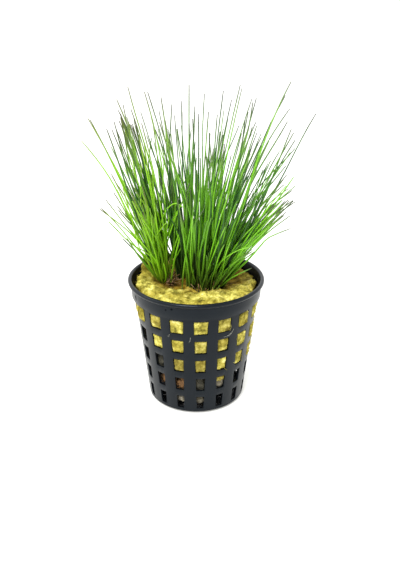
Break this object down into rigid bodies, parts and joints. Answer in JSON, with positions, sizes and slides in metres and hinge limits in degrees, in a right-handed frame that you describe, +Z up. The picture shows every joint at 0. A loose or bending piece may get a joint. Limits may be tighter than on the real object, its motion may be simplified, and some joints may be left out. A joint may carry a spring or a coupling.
{
  "type": "potted dwarf hairgrass",
  "caption": "Bushy dwarf hairgrass, thin green culms fanning out of yellow mineral wool in a tapered black net pot with square side windows.",
  "frame": {"origin": "middle of the pot's flat underside", "axes": "+Z up along the pot's axis, -Y out of the side that the picture shows, +X to that view's right"},
  "size_m": [0.0867, 0.0615, 0.1289],
  "materials": {
    "pot_plastic": "satin moulded polypropylene",
    "mineral_wool": "damp fibrous felt",
    "roots": "matted fibres",
    "culms": "smooth living leaf"
  },
  "bodies": {
    "root": {"net_pot": "pot_plastic", "rock_wool": "mineral_wool", "root_mat": "roots", "tuft_01": "culms", "tuft_02": "culms", "tuft_03": "culms", "tuft_04": "culms", "tuft_05": "culms", "tuft_06": "culms", "tuft_07": "culms", "tuft_08": "culms", "tuft_09": "culms", "tuft_10": "culms", "tuft_11": "culms", "tuft_12": "culms", "tuft_13": "culms", "tuft_14": "culms", "tuft_15": "culms", "tuft_16": "culms", "tuft_17": "culms", "tuft_18": "culms", "tuft_19": "culms", "tuft_20": "culms", "tuft_21": "culms", "tuft_22": "culms", "tuft_23": "culms", "tuft_24": "culms", "tuft_25": "culms", "tuft_26": "culms", "tuft_27": "culms", "tuft_28": "culms", "tuft_29": "culms", "tuft_30": "culms", "tuft_31": "culms", "tuft_32": "culms", "tuft_33": "culms", "tuft_34": "culms", "tuft_35": "culms", "tuft_36": "culms", "tuft_37": "culms", "tuft_38": "culms", "tuft_39": "culms", "tuft_40": "culms", "tuft_41": "culms"}
  },
  "joints": []
}
